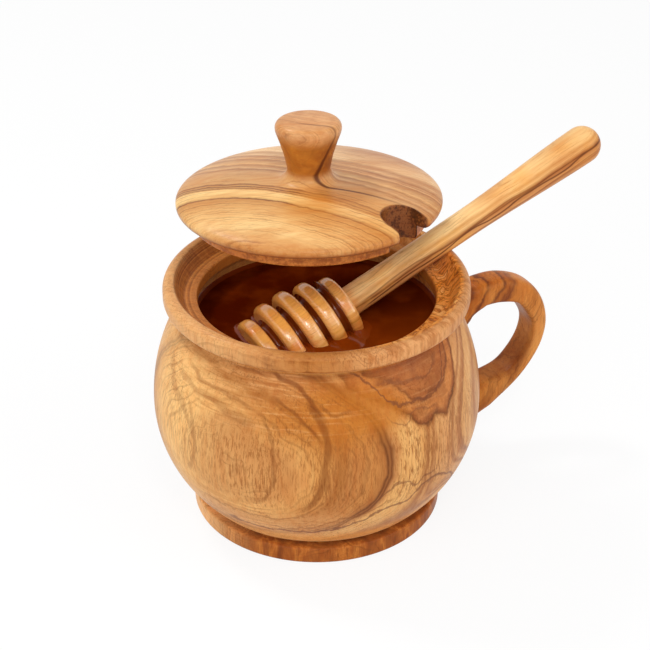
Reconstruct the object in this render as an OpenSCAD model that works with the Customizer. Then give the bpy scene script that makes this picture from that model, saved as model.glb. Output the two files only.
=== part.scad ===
// Turned olive wood honey pot with a lift-off lid, a dipper and a sawn side handle.
// Millimetres, +Z up. The origin is the centre of the foot, on the surface the pot stands on.
// +X is to the viewer's right, -Y is toward the viewer.

/* [Pot] */
// Height of the rim above the table
pot_h = 87.3; // [82:0.1:95]
// Radius of the rim bead at its widest
rim_r = 52; // [50.5:0.1:54]
// Radius of the belly at its widest
belly_r = 56.6; // [54:0.1:60]
// Height of the widest ring of the belly
belly_z = 42.3; // [39:0.1:45]
// Radius of the turned foot
foot_r = 43.6; // [42:0.1:46]
// Thickness of the foot ring
foot_h = 6.2; // [5:0.1:7]
// Wall thickness at the belly
wall = 8.2; // [6.5:0.1:9]
// Thickness of the floor
floor_t = 9; // [7:0.1:12]

/* [Mouth] */
// Radius of the mouth, inside the ledge
mouth_r = 40.4; // [38:0.1:41.5]
// Depth of the ledge below the rim
ledge_drop = 5.7; // [4.5:0.1:7]
// Radius of the recess where it meets the ledge
seat_r = 44.9; // [44:0.1:46]
// Radius of the inner edge of the rim
lip_r = 47.9; // [47:0.1:48.5]

/* [Lid] */
// Height of the dome above the edge of the lid
dome_h = 7.1; // [6:0.1:12]
// Depth of the spigot below the lid
spigot_h = 4.7; // [3:0.1:8]
// Radius of the rounded edge of the lid
edge_round = 1.7; // [0.8:0.1:2.2]
// Height of the knob's top above the edge of the lid
knob_h = 27.4; // [24:0.1:32]
// Radius of the knob at its widest
knob_r = 10.9; // [9:0.1:13]
// Radius of the knob's waist
waist_r = 7.1; // [5.5:0.1:8.5]

/* [Lid notch] */
// Width of the notch for the dipper's stick
notch_w = 14.4; // [12.5:0.1:17]
// Distance from the lid's axis to the centre of the notch's round end
notch_c = 38.6; // [35:0.1:40]
// Direction of the notch, seen from above
notch_az = -38.5; // [-60:0.5:0]

/* [Dipper] */
// Radius of the stick where it lies on the rim
stick_r = 5; // [4.2:0.1:5.6]
// Radius of the rounded end of the stick
bulb_r = 6.7; // [5.8:0.1:7.5]
// Length of the stick beyond the rim
stick_out = 68; // [55:0.5:80]
// Distance from the rim to the middle of the first disc
head_in = 43.6; // [42:0.1:46]
// Spacing of the discs
disc_pitch = 7.6; // [7:0.1:8]
// Thickness of each disc
disc_t = 5; // [4:0.1:5.6]
// Radius of the largest discs
disc_r = 16.1; // [14:0.1:17]
// Radius of the core between the discs
core_r = 7.6; // [6:0.1:9]

/* [Handle] */
// Direction in which the handle points, seen from above
handle_az = 27; // [0:1:40]
// Width of the handle
handle_w = 11.4; // [9:0.1:12.5]
// Radius of the two dowels that hold the handle
dowel_r = 2.5; // [2:0.1:3]
// Height of the upper dowel
dowel_hi = 64.3; // [63.5:0.1:65]
// Height of the lower dowel
dowel_lo = 22; // [20:0.1:23]

/* [Honey] */
// Depth of the honey's surface below the rim
honey_drop = 15; // [12:0.1:25]

/* [Fits] */
// Radial gap between the edge of the lid and the recess
edge_gap = 1; // [0.4:0.05:1.2]
// Radial gap between the spigot and the mouth
spigot_gap = 1.2; // [0.4:0.05:2]
// Gap between the stick and the rim it lies on
rest_gap = 0.3; // [0.2:0.05:0.5]
// Gap left for glue between the handle and the belly
glue_gap = 0.05; // [0.02:0.01:0.1]
// Gap round the dipper's head in the honey
honey_gap = 0.4; // [0.3:0.05:0.8]

/* [Pose] */
// Height at which the lid is held above its seat
lid_raise = 33.5; // [30:0.1:60]
// Sideways offset of the raised lid
lid_shift = -2.5; // [-4:0.1:4]
// Tilt of the raised lid, front edge up
lid_tilt = 3.2; // [0:0.1:5]
// Tilt of the raised lid, right side up
lid_roll = 0.5; // [-2:0.1:2]
// Direction in which the stick points, seen from above
stick_az = 29.4; // [20:0.1:40]
// Slope of the stick
stick_tilt = 21.5; // [19:0.1:24]
// Direction, from the pot's axis, of the place where the stick crosses the rim
rest_az = 23; // [15:0.1:32]
// How far the dipper moves to come out of the honey
dipper_travel = 32; // [12:0.5:33]
// Direction in which the dipper is lifted away, seen from above
lift_az = -15; // [-30:1:0]
// Slope of the dipper's way out
lift_slope = 45; // [43:0.5:48]

/* [Hidden] */
$fn = 96;
ledge_z = pot_h - ledge_drop;
cavity_r = belly_r - wall;
honey_z = pot_h - honey_drop;
lid_r = seat_r - edge_gap;
spigot_r = mouth_r - spigot_gap;
under_t = edge_round + 0.3;
lid_z = ledge_z + under_t + lid_raise;
disc_scale = [0.727, 0.907, 1, 1, 0.913];
head_end = head_in + 4 * disc_pitch + disc_t / 2 + 2.4;
rest_r = lip_r + 0.8;
lift_dir = [cos(lift_slope) * cos(lift_az), cos(lift_slope) * sin(lift_az), sin(lift_slope)];
wood = "burlywood";
dark_wood = "peru";

// Radius of a half ellipse at height z: widest r at height zc, closing at zc - down and zc + up
function bulge(z, r, zc, down, up) =
    r * sqrt(1 - pow(z > zc ? (z - zc) / up : (zc - z) / down, 2));

// Points of an arc, from angle a0 to a1 in n steps
function arc(cx, cy, r, a0, a1, n) =
    [for (i = [0:n]) [cx + r * cos(a0 + (a1 - a0) * i / n), cy + r * sin(a0 + (a1 - a0) * i / n)]];

// Smooth step from 0 to 1
function ease(t) = let (c = min(max(t, 0), 1)) c * c * (3 - 2 * c);

// Outer outline of the pot: foot ring, cove, belly and rim bead
belly_down = 50.9;
belly_up = 60.6;
belly_low = foot_h + 1.8;
belly_top = pot_h - 10.3;
function belly_out(z) = bulge(z, belly_r, belly_z, belly_down, belly_up);
function outside(grow = 0) = concat(
    [[foot_r - 0.6 + grow, 0], [foot_r + grow, 0.7]],
    arc(foot_r - 1 + grow, foot_h - 1, 1, 0, 80, 4),
    [[belly_out(belly_low) - 1.9 + grow, foot_h + 0.2],
     [belly_out(belly_low) - 1.6 + grow, foot_h + 1]],
    [for (i = [0:30]) let (z = belly_low + (belly_top - belly_low) * i / 30)
        [belly_out(z) + grow, z]],
    [[belly_out(belly_top) - 0.3, pot_h - 9.4]]);
function bead() = concat(
    [[rim_r - 4.6, pot_h - 8.4], [rim_r - 2.2, pot_h - 7.3]],
    arc(rim_r - 1.8, pot_h - 4.9, 1.8, -60, 0, 3),
    arc(rim_r - 2.6, pot_h - 2.6, 2.6, 0, 90, 6),
    arc(lip_r + 0.9, pot_h - 0.9, 0.9, 90, 175, 4));

// Inner outline of the pot: recess, ledge, mouth and cavity, from the top down
cavity_z = belly_z - 0.3;
cavity_down = 41.5;
cavity_up = pot_h - 21.3;
function cavity(z) = bulge(z, cavity_r, cavity_z, cavity_down, cavity_up);
neck_z = ledge_z - 4;
function inside() = concat(
    [[seat_r, ledge_z], [mouth_r + 0.5, ledge_z], [mouth_r, ledge_z - 0.5], [mouth_r, neck_z]],
    [for (i = [1:24]) let (z = neck_z - (neck_z - floor_t - 4) * i / 24)
        [min(cavity(z), mouth_r + (neck_z - z) * 0.9), z]],
    arc(cavity(floor_t + 4) - 5, floor_t + 4, 4, -15, -90, 5),
    [[0, floor_t]]);

module dowel_place(h, rho) {
    rotate([0, 0, handle_az])
        translate([rho, 0, h])
            rotate([0, 90, 0])
                children();
}

dowel_len = 15;
dowel_hi_rho = belly_out(dowel_hi) - 5.4;
dowel_lo_rho = belly_out(dowel_lo) - 6.4;

module dowel_holes() {
    dowel_place(dowel_hi, dowel_hi_rho - 0.3) cylinder(r = dowel_r, h = dowel_len + 0.6);
    dowel_place(dowel_lo, dowel_lo_rho - 0.3) cylinder(r = dowel_r, h = dowel_len + 0.6);
}

// The body is turned in one piece: foot, belly, rim bead, lid seat and cavity
module pot_body() {
    color(wood)
        difference() {
            rotate_extrude($fn = 180)
                polygon(concat([[0, 0]], outside(), bead(), inside()));
            dowel_holes();
        }
}

// Centre line of the handle's loop: [distance out from the belly's radius, height, half thickness]
loop = [[-12.6, 59, 9], [-4.2, 61.4, 8.7], [0.9, 63.8, 6.6], [6, 65, 4.8], [8.6, 65.8, 4.7],
        [15.9, 65.5, 4.7], [24.4, 62.4, 4.3], [29.4, 56.4, 4.1], [32, 48.9, 3.3], [30.9, 41.3, 3],
        [27, 34.4, 3], [21, 28.3, 3.5], [12.4, 23.9, 5.6], [8.3, 22, 6.1], [0, 20.4, 7.7],
        [-12.6, 21, 9.2]];
loop_steps = 5;
loop_n = (len(loop) - 3) * loop_steps;
function spline(a, b, c, d, t) =
    0.5 * (2 * b + (c - a) * t + (2 * a - 5 * b + 4 * c - d) * t * t
           + (3 * b - a - 3 * c + d) * t * t * t);
function loop_at(i) =
    let (k = min(floor(i / loop_steps), len(loop) - 4), t = i / loop_steps - k)
    spline(loop[k], loop[k + 1], loop[k + 2], loop[k + 3], t);
function loop_dir(i) =
    let (a = loop_at(max(i - 0.5, 0)), b = loop_at(min(i + 0.5, loop_n)), d = [b[0] - a[0], b[1] - a[1]])
    d / norm(d);

// Section of the handle: a rounded rectangle, softer on the outside than on the inside
section_n = 28;
function power(v, p) = sign(v) * pow(abs(v), p);
function section(a, half_t, half_w) =
    let (p = sin(a) > 0 ? 0.62 : 0.42)
    [half_w * power(cos(a), p), half_t * power(sin(a), p)];

module handle_loop() {
    points = [for (i = [0:loop_n], j = [0:section_n - 1])
        let (c = loop_at(i), d = loop_dir(i),
             s = section(360 * j / section_n, c[2], handle_w / 2))
        [belly_r + c[0] - s[1] * d[1], s[0], c[1] + s[1] * d[0]]];
    sides = [for (i = [0:loop_n - 1], j = [0:section_n - 1])
        let (a = i * section_n + j, b = i * section_n + (j + 1) % section_n)
        [a, a + section_n, b + section_n, b]];
    start = [for (j = [0:section_n - 1]) j];
    end = [for (j = [section_n - 1:-1:0]) loop_n * section_n + j];
    rotate([0, 0, handle_az])
        polyhedron(points = points, faces = concat([start], sides, [end]), convexity = 6);
}

// The handle is sawn from a board, rounded over and scribed to the belly
module pot_handle() {
    color(wood)
        difference() {
            handle_loop();
            rotate_extrude($fn = 180)
                polygon(concat([[0, 0]], outside(glue_gap), [[0, pot_h - 9.4]]));
            dowel_holes();
        }
}

module handle_dowel_upper() {
    color(dark_wood)
        dowel_place(dowel_hi, dowel_hi_rho) cylinder(r = dowel_r, h = dowel_len);
}

module handle_dowel_lower() {
    color(dark_wood)
        dowel_place(dowel_lo, dowel_lo_rho) cylinder(r = dowel_r, h = dowel_len);
}

// The raised lid, in the pot's frame
module lid_place() {
    translate([lid_shift, 0, lid_z])
        rotate([0, -lid_roll, 0])
            rotate([-lid_tilt, 0, 0])
                children();
}

// Lid outline from the spigot up: edge at height 0, dome, then the knob in the same piece
dome_end = 11.5;
function dome_z(r) = dome_h * sqrt(1 - pow(r / lid_r, 2));
spigot_round = 1.4;
function lid_outline() = concat(
    [[0, -under_t - spigot_h + 1.4], [spigot_r - 6, -under_t - spigot_h + 1.4],
     [spigot_r - 5, -under_t - spigot_h]],
    arc(spigot_r - spigot_round, -under_t - spigot_h + spigot_round, spigot_round, -90, 0, 4),
    [[spigot_r, -under_t], [lid_r - edge_round - 0.3, -under_t]],
    arc(lid_r - edge_round, edge_round - under_t, edge_round, -80, 0, 5),
    [for (i = [1:22]) let (a = 90 * i / 22, r = dome_end + (lid_r - dome_end) * cos(a)) [r, dome_z(r)]],
    arc(waist_r + 4.2, dome_z(dome_end) + 4.2, 4.2, -100, -180, 6),
    [[waist_r + 0.9, dome_h + 8.4], [knob_r - 1.35, knob_h - 6.9], [knob_r - 0.1, knob_h - 3.6]],
    arc(knob_r - 2.4, knob_h - 2.4, 2.4, -5, 65, 6),
    [[knob_r - 2.9, knob_h], [0, knob_h]]);

// Outline of the notch: a round end, straight sides, and corners eased where it meets the edge
notch_ease = 2.2;
function notch_side(s) =
    let (x = lid_r - notch_ease - 0.6, y = notch_w / 2 + notch_ease)
    [for (p = arc(0, 0, notch_ease, 0, 60, 4)) [x + p[1], s * (y - p[0])]];
function notch_outline() = concat(
    notch_side(1),
    [[lid_r + 8, notch_w / 2 + 4], [lid_r + 8, -notch_w / 2 - 4]],
    [for (i = [4:-1:0]) notch_side(-1)[i]],
    arc(notch_c, 0, notch_w / 2, -90, -270, 20));

// The lid and its knob are turned from one blank, and a notch is cut for the stick
module lid() {
    color(wood)
        lid_place()
            difference() {
                rotate_extrude($fn = 180)
                    polygon(lid_outline());
                rotate([0, 0, notch_az])
                    translate([0, 0, -20])
                        linear_extrude(height = 40)
                            polygon(notch_outline());
            }
}

// Places the dipper's axis along +Z of the child, with 0 where the stick crosses the rim
module dipper_place() {
    translate([rest_r * cos(rest_az), rest_r * sin(rest_az), pot_h])
        rotate([0, 90 - stick_tilt, stick_az])
            translate([-stick_r - rest_gap, 0, 0])
                children();
}

function stick_at(t) = stick_r + (bulb_r - stick_r) * ease((t - 8) / 56) + 0.25 * ease(-t / 40);
function disc(i) =
    let (c = -head_in - (4 - i) * disc_pitch, r = disc_r * disc_scale[4 - i], h = disc_t / 2, e = 1.9)
    concat(
        [[core_r, c - h]],
        arc(r - e, c - h + e, e, -90, 0, 4),
        arc(r - e, c + h - e, e, 0, 90, 4),
        [[core_r, c + h]]);
bulb_c = stick_out - bulb_r;
function dipper_outline() = concat(
    [[0, -head_end], [4, -head_end + 0.25], [8, -head_end + 1.2]],
    [for (p = disc(0)) if (p[0] > core_r + 3 || p[1] > -head_end + 4) p],
    [for (i = [1:4], p = disc(i)) p],
    [[stick_at(-40) + 0.3, -head_in + disc_t / 2 + 0.1]],
    [for (i = [0:20]) let (t = -head_in + disc_t / 2 + 1 + (bulb_c + head_in - disc_t / 2 - 1) * i / 20)
        [stick_at(t), t]],
    arc(0, bulb_c, bulb_r, 12, 90, 7));

// The dipper is turned in one piece: five discs on a core, and a stick with a rounded end
module honey_dipper() {
    color(wood)
        dipper_place()
            rotate_extrude($fn = 72)
                polygon(dipper_outline());
}

// Smooth envelope of the dipper's head
module head_envelope() {
    r = disc_r + honey_gap;
    dipper_place()
        rotate_extrude($fn = 48)
            polygon([[0, -head_end - honey_gap],
                     [r * disc_scale[4] - 2, -head_end - honey_gap],
                     [r * disc_scale[4], -head_end + 2],
                     [r, -head_in - 3 * disc_pitch - disc_t / 2],
                     [r, -head_in - 2 * disc_pitch + disc_t / 2],
                     [r * disc_scale[1], -head_in - disc_pitch + disc_t / 2],
                     [r * disc_scale[0] + 0.2, -head_in + disc_t / 2 + honey_gap],
                     [0, -head_in + disc_t / 2 + honey_gap]]);
}

// The honey fills the cavity to its surface, with room for the dipper's head and its way out
module honey() {
    color("saddlebrown")
        difference() {
            rotate_extrude($fn = 120)
                polygon(concat(
                    [[0, floor_t + 0.1], [cavity(floor_t + 4) - 6, floor_t + 0.1]],
                    [for (i = [0:20]) let (z = floor_t + 4.2 + (honey_z - floor_t - 4.2) * i / 20)
                        [min(cavity(z), mouth_r + (neck_z - z) * 0.9) - 0.3, z]],
                    [[0, honey_z]]));
            hull() {
                head_envelope();
                translate(dipper_travel * lift_dir) head_envelope();
            }
        }
}

pot_body();
pot_handle();
handle_dowel_upper();
handle_dowel_lower();
lid();
honey_dipper();
honey();
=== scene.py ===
"""Looks of a turned olive wood honey pot with a lift-off lid, a dipper and a sawn side handle.

Sizes are the part's own, in millimetres; meshes are written in metres, in the CAD frame.
"""

import math

import bmesh
import bpy
import numpy as np
from mathutils import Matrix, Vector


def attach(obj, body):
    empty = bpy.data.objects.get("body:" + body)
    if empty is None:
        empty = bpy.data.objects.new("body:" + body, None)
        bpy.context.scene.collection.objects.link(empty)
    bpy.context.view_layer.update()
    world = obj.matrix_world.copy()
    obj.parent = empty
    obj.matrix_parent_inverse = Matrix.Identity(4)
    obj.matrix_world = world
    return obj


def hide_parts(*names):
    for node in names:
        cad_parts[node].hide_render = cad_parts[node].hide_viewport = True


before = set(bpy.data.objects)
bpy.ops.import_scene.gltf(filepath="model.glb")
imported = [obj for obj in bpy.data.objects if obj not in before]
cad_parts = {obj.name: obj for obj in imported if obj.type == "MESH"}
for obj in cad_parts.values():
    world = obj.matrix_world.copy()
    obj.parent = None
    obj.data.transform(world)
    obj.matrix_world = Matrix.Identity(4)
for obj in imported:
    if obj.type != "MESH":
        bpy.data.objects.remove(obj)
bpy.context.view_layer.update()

MM = 0.001

# Pot
POT_H = 87.3
RIM_R = 52.0
BELLY_R = 56.6
BELLY_Z = 42.3
BELLY_DOWN = 50.9
BELLY_UP = 60.6
FOOT_R = 43.6
FOOT_H = 6.2
WALL = 8.2
FLOOR_T = 9.0
MOUTH_R = 40.4
LEDGE_DROP = 5.7
SEAT_R = 44.9
LIP_R = 47.9
LEDGE_Z = POT_H - LEDGE_DROP
NECK_Z = LEDGE_Z - 4
BELLY_LOW = FOOT_H + 1.8
BELLY_TOP = POT_H - 10.3
CAVITY_DOWN = 41.5
CAVITY_UP = POT_H - 21.3
# Where the cavity's wall turns into its floor
BOWL_Z = FLOOR_T + 4

# Lid
DOME_H = 7.1
SPIGOT_H = 4.7
EDGE_ROUND = 1.7
SPIGOT_ROUND = 1.4
KNOB_H = 27.4
KNOB_R = 10.9
WAIST_R = 7.1
KNOB_FILLET = 4.2
KNOB_ROUND = 2.4
DOME_END = 11.5
EDGE_GAP = 1.0
SPIGOT_GAP = 1.2
UNDER_T = EDGE_ROUND + 0.3
LID_R = SEAT_R - EDGE_GAP
SPIGOT_R = MOUTH_R - SPIGOT_GAP
SPIGOT_Z = -UNDER_T - SPIGOT_H
NOTCH_W = 14.4
NOTCH_C = 38.6
NOTCH_AZ = -38.5
NOTCH_EASE = 2.2
LID_RAISE = 33.5
LID_SHIFT = -2.5
LID_TILT = 3.2
LID_ROLL = 0.5

# Dipper
STICK_R = 5.0
BULB_R = 6.7
STICK_OUT = 68.0
HEAD_IN = 43.6
DISC_PITCH = 7.6
DISC_T = 5.0
DISC_R = 16.1
DISC_EASE = 1.9
DISC_SCALE = (0.727, 0.907, 1.0, 1.0, 0.913)
CORE_R = 7.6
STICK_AZ = 29.4
STICK_TILT = 21.5
REST_AZ = 23.0
REST_R = LIP_R + 0.8
REST_GAP = 0.3
HEAD_END = HEAD_IN + 4 * DISC_PITCH + DISC_T / 2 + 2.4

# Handle
HANDLE_AZ = 27.0
HANDLE_W = 11.4
LOOP = [(BELLY_R + out, z, half) for out, z, half in (
    (-12.6, 59, 9), (-4.2, 61.4, 8.7), (0.9, 63.8, 6.6), (6, 65, 4.8), (8.6, 65.8, 4.7),
    (15.9, 65.5, 4.7), (24.4, 62.4, 4.3), (29.4, 56.4, 4.1), (32, 48.9, 3.3), (30.9, 41.3, 3),
    (27, 34.4, 3), (21, 28.3, 3.5), (12.4, 23.9, 5.6), (8.3, 22, 6.1), (0, 20.4, 7.7),
    (-12.6, 21, 9.2))]

# Honey
HONEY_DROP = 15.0
HONEY_Z = POT_H - HONEY_DROP
HONEY_FIT = 0.15
HONEY_FLOOR_R = 38
FILM_T = 2.6


# Outlines

def bulge(z, r, zc, down, up):
    """Radius of a half ellipse at height z: widest r at zc, closing at zc - down and zc + up."""
    reach = (z - zc) / up if z > zc else (zc - z) / down
    return r * math.sqrt(1 - reach * reach)


def belly(z):
    return bulge(z, BELLY_R, BELLY_Z, BELLY_DOWN, BELLY_UP)


def cavity(z):
    return bulge(z, BELLY_R - WALL, BELLY_Z - 0.3, CAVITY_DOWN, CAVITY_UP)


def inner(z):
    return min(cavity(z), MOUTH_R + (NECK_Z - z) * 0.9)


def arc(cx, cy, r, start, end, n):
    angles = np.radians(np.linspace(start, end, n + 1))
    return [(cx + r * math.cos(a), cy + r * math.sin(a)) for a in angles]


def ease(t):
    t = min(max(t, 0.0), 1.0)
    return t * t * (3 - 2 * t)


def soften(outline, size, sharp=14.0, steps=5):
    """The outline with each corner turned into a small curve, at most size mm long on each side."""
    points = [np.array(p, float) for p in outline]
    result = [points[0]]
    for before, corner, after in zip(points, points[1:], points[2:]):
        into, out = corner - before, after - corner
        long_in, long_out = np.linalg.norm(into), np.linalg.norm(out)
        if long_in < 1e-6 or long_out < 1e-6:
            continue
        turn = math.degrees(math.acos(np.clip(into @ out / long_in / long_out, -1, 1)))
        if turn < sharp:
            result.append(corner)
            continue
        start = corner - into / long_in * min(size, 0.45 * long_in)
        end = corner + out / long_out * min(size, 0.45 * long_out)
        for t in np.linspace(0, 1, steps + 1):
            result.append((1 - t) ** 2 * start + 2 * t * (1 - t) * corner + t * t * end)
    result.append(points[-1])
    return result


def pot_outline():
    """From the middle of the foot up the outside, over the rim and down to the cavity's floor."""
    cove = belly(BELLY_LOW)
    outside = [(0, 0), (FOOT_R - 0.6, 0), (FOOT_R, 0.7)]
    outside += arc(FOOT_R - 1, FOOT_H - 1, 1, 0, 80, 6)
    outside += [(cove - 1.9, FOOT_H + 0.2), (cove - 1.6, FOOT_H + 1)]
    outside += [(belly(z), z) for z in np.linspace(BELLY_LOW, BELLY_TOP, 80)]
    outside += [(belly(BELLY_TOP) - 0.3, POT_H - 9.4)]
    bead = [(RIM_R - 4.6, POT_H - 8.4), (RIM_R - 2.2, POT_H - 7.3)]
    bead += arc(RIM_R - 1.8, POT_H - 4.9, 1.8, -60, 0, 8)
    bead += arc(RIM_R - 2.6, POT_H - 2.6, 2.6, 0, 90, 12)
    bead += arc(LIP_R + 0.9, POT_H - 0.9, 0.9, 90, 175, 8)
    inside = [(SEAT_R, LEDGE_Z), (MOUTH_R + 0.5, LEDGE_Z), (MOUTH_R, LEDGE_Z - 0.5)]
    inside += [(inner(z), z) for z in np.linspace(NECK_Z, BOWL_Z, 60)]
    inside += arc(cavity(BOWL_Z) - 5, BOWL_Z, 4, -15, -90, 8)
    inside += [(0, FLOOR_T)]
    return soften(outside + bead + inside, 0.5)


def dome(r):
    return DOME_H * math.sqrt(max(1 - (r / LID_R) ** 2, 0))


def knob_outline():
    """From the knob's top down to where its fillet meets the dome."""
    foot = dome(DOME_END)
    up = arc(WAIST_R + KNOB_FILLET, foot + KNOB_FILLET, KNOB_FILLET, -100, -180, 16)
    up += [(WAIST_R + 0.9, DOME_H + 8.4), (KNOB_R - 1.35, KNOB_H - 6.9)]
    up += [(KNOB_R - 0.1, KNOB_H - 3.6)]
    up += arc(KNOB_R - KNOB_ROUND, KNOB_H - KNOB_ROUND, KNOB_ROUND, -5, 65, 10)
    up += [(KNOB_R - 2.9, KNOB_H), (0, KNOB_H)]
    return soften(up[::-1], 1.1)


def stick(t):
    """The stick's radius, t along from where it crosses the rim."""
    return STICK_R + (BULB_R - STICK_R) * ease((t - 8) / 56) + 0.25 * ease(-t / 40)


def disc(i):
    c = -HEAD_IN - (4 - i) * DISC_PITCH
    r, h, e = DISC_R * DISC_SCALE[4 - i], DISC_T / 2, DISC_EASE
    rim = arc(r - e, c - h + e, e, -90, 0, 8) + arc(r - e, c + h - e, e, 0, 90, 8)
    return [(CORE_R, c - h)] + rim + [(CORE_R, c + h)]


def dipper_outline():
    bulb = STICK_OUT - BULB_R
    start = -HEAD_IN + DISC_T / 2
    points = [(0, -HEAD_END), (4, -HEAD_END + 0.25), (8, -HEAD_END + 1.2)]
    points += [p for p in disc(0) if p[0] > CORE_R + 3 or p[1] > -HEAD_END + 4]
    for i in range(1, 5):
        points += disc(i)
    points += [(stick(-40) + 0.3, start + 0.1)]
    points += [(stick(t), t) for t in np.linspace(start + 1, bulb, 60)]
    points += arc(0, bulb, BULB_R, 8, 90, 14)
    return soften(points, 0.8)


# Meshes

def piece(name, points, faces, material, body, node=None, slot=None, place=Matrix(), merge=False):
    """A smooth mesh in the CAD frame, from points in mm, that rides on a body."""
    mesh = bpy.data.meshes.new(name)
    mesh.from_pydata((np.array(points, float) * MM).tolist(), [], [list(map(int, f)) for f in faces])
    mesh.transform(place)
    obj = bpy.data.objects.new(name, mesh)
    bpy.context.scene.collection.objects.link(obj)
    if merge:
        tidy(mesh)
    mesh.update()
    mesh.shade_smooth()
    mesh.materials.append(material)
    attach(obj, body)
    if node:
        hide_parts(node)
    return obj


def tidy(mesh):
    """Joins points that lie on each other and turns all faces outward."""
    work = bmesh.new()
    work.from_mesh(mesh)
    bmesh.ops.remove_doubles(work, verts=work.verts, dist=2e-6)
    bmesh.ops.dissolve_degenerate(work, edges=work.edges, dist=1e-6)
    bmesh.ops.recalc_face_normals(work, faces=work.faces)
    work.to_mesh(mesh)
    work.free()


def spin(outline, steps):
    """Points and faces of an outline that starts and ends on the Z axis, spun round it."""
    rings = outline[1:-1]
    turn = np.linspace(0, 2 * math.pi, steps, endpoint=False)
    points = [(0, 0, outline[0][1])]
    for r, z in rings:
        points += [(r * c, r * s, z) for c, s in zip(np.cos(turn), np.sin(turn))]
    points.append((0, 0, outline[-1][1]))
    faces = []
    for j in range(steps):
        k = (j + 1) % steps
        faces.append((0, 1 + k, 1 + j))
        for i in range(len(rings) - 1):
            a, b = 1 + i * steps, 1 + (i + 1) * steps
            faces.append((a + j, a + k, b + k, b + j))
        last = 1 + (len(rings) - 1) * steps
        faces.append((last + j, last + k, len(points) - 1))
    return points, faces


def band(a, b, n):
    """Faces between two rings of n points that start at the indexes a and b."""
    return [(a + j, b + j, b + (j + 1) % n, a + (j + 1) % n) for j in range(n)]


def circle(r, z, turn):
    return [(r * math.cos(t), r * math.sin(t), z) for t in turn]


def turned_to(axis_angle_steps, origin):
    """Matrix that turns by each (axis, degrees) in order, outermost first, and moves to origin in mm."""
    matrix = Matrix.Translation(Vector(origin) * MM)
    for axis, angle in axis_angle_steps:
        matrix = matrix @ Matrix.Rotation(math.radians(angle), 4, axis)
    return matrix


def spline(a, b, c, d, t):
    """A point on the smooth curve from b to c."""
    a, b, c, d = (np.array(p, float) for p in (a, b, c, d))
    return 0.5 * (2 * b + (c - a) * t + (2 * a - 5 * b + 4 * c - d) * t**2
                  + (3 * b - a - 3 * c + d) * t**3)


def handle_mesh(steps=10, sides=56):
    """The sawn handle: a soft rectangle swept along its loop."""
    spans = len(LOOP) - 3
    stations = [spline(*LOOP[k:k + 4], t) for k in range(spans)
                for t in np.arange(steps) / steps] + [spline(*LOOP[-4:], 1.0)]
    stations = np.array(stations)
    heading = np.gradient(stations[:, :2], axis=0)
    heading /= np.linalg.norm(heading, axis=1)[:, None]
    angles = 2 * math.pi * np.arange(sides) / sides
    power = np.where(np.sin(angles) > 0, 0.62, 0.42)
    across = HANDLE_W / 2 * np.sign(np.cos(angles)) * np.abs(np.cos(angles)) ** power
    through = np.sign(np.sin(angles)) * np.abs(np.sin(angles)) ** power
    points = []
    for (rho, z, half), (dx, dz) in zip(stations, heading):
        s = through * half
        points += list(zip(rho - s * dz, across, z + s * dx))
    last = (len(stations) - 1) * sides
    faces = [face for a in range(0, last, sides) for face in band(a, a + sides, sides)]
    faces.append(tuple(range(sides)))
    faces.append(tuple(range(last, last + sides))[::-1])
    return points, faces


def lid_edge():
    """The lid's edge seen from above, notch on +X: x, y, share of notch, and its angle nearer the knob."""
    corner = LID_R - NOTCH_EASE - 0.6
    bottom = arc(NOTCH_C, 0, NOTCH_W / 2, 180, 90, 14)
    half = [(x, y, 1.0, 15 * i / 14) for i, (x, y) in enumerate(bottom)]
    side = np.linspace(NOTCH_C, corner, 5)
    half += [(x, NOTCH_W / 2, 1.0, 15 + 4 * i / 4) for i, x in enumerate(side)][1:]
    for i in range(1, 7):
        a = math.radians(10 * i)
        x, y = corner + NOTCH_EASE * math.sin(a), NOTCH_W / 2 + NOTCH_EASE * (1 - math.cos(a))
        half.append((x, y, 1 - 0.14 * i, 19 + 0.5 * i))
    first = math.degrees(math.atan2(half[-1][1], half[-1][0])) + 0.5
    rim = []
    for share in np.linspace(0, 1, 200):
        at = first + (360 - 2 * first) * share
        turn = 22.5 + (360 - 45) * share
        a = math.radians(at)
        rim.append((LID_R * math.cos(a), LID_R * math.sin(a), 0.0, turn))
    back = [(x, -y, s, 360 - t) for x, y, s, t in half[1:][::-1]]
    return np.array(half + rim + back)


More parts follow.
